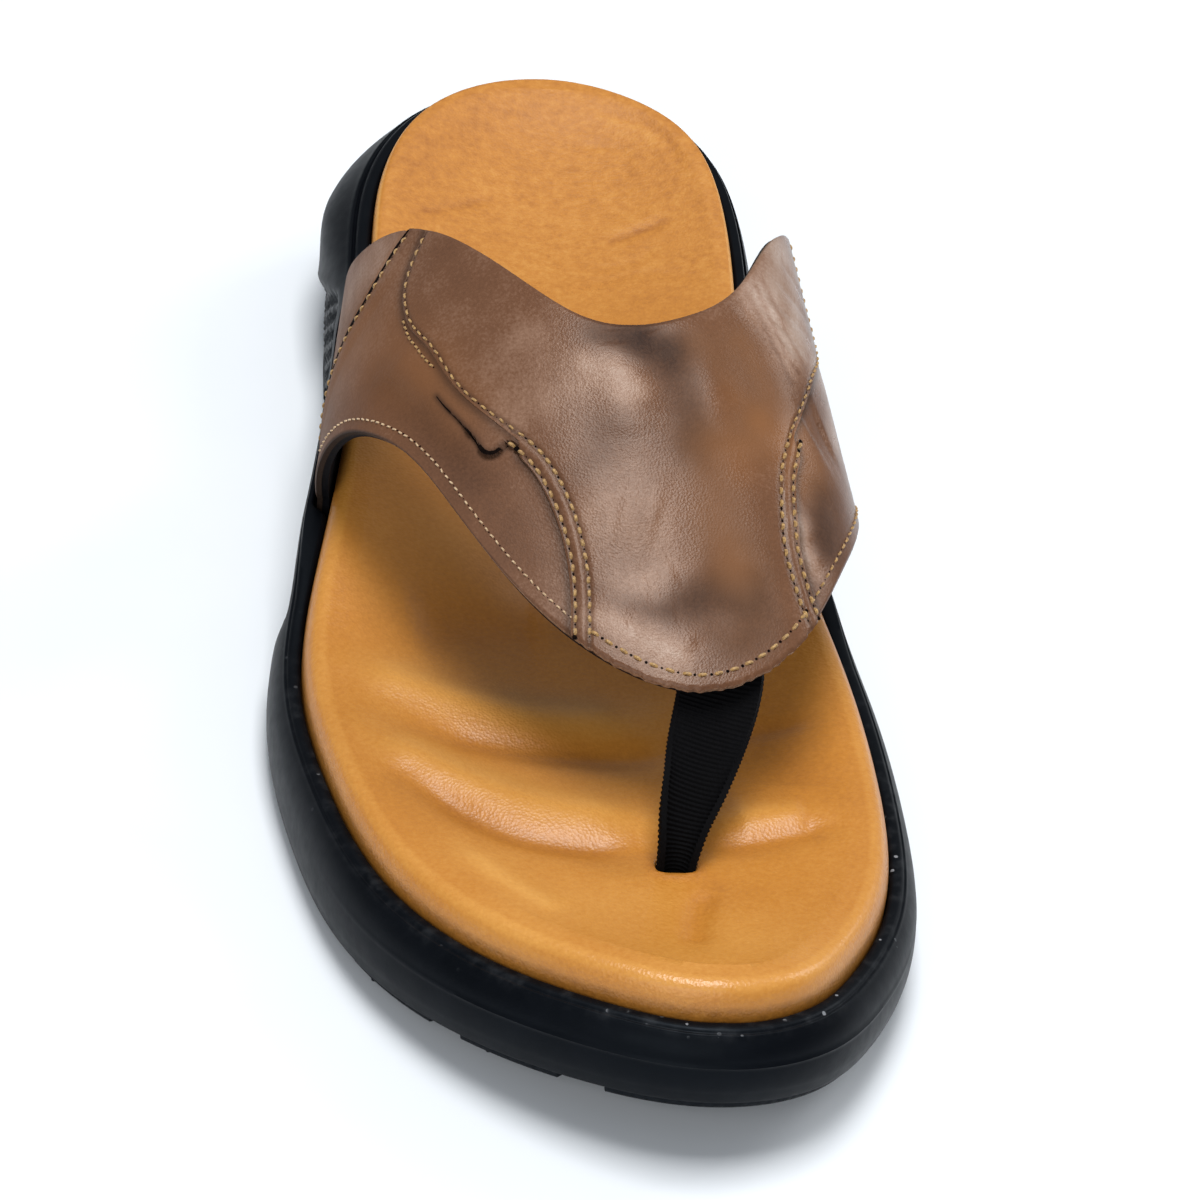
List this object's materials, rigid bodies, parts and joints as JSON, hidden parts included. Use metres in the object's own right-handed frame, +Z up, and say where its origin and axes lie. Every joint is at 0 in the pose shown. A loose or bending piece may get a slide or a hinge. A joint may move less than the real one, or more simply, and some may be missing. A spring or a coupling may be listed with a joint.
{
  "type": "leather thong sandal",
  "caption": "Right-foot leather thong sandal: broad V-shaped upper joined to a folded webbing toe post, padded leather footbed and a moulded sole with a lugged tread.",
  "frame": {"origin": "on the ground under the middle of the sole's box", "axes": "+Z up, +Y from the toe towards the heel, +X towards the big toe's side of this right shoe"},
  "size_m": [0.1108, 0.285, 0.0799],
  "materials": {
    "sole_rubber": "satin black moulding with a fine pebbled tread",
    "footbed_leather": "smooth golden tan leather over foam",
    "upper_leather": "smooth brown leather with a soft sheen, gold stitching and a black lining",
    "webbing": "black ribbed webbing, matte"
  },
  "bodies": {
    "root": {"sole": "sole_rubber", "footbed": "footbed_leather", "upper": "upper_leather", "toe_post": "webbing"}
  },
  "joints": []
}
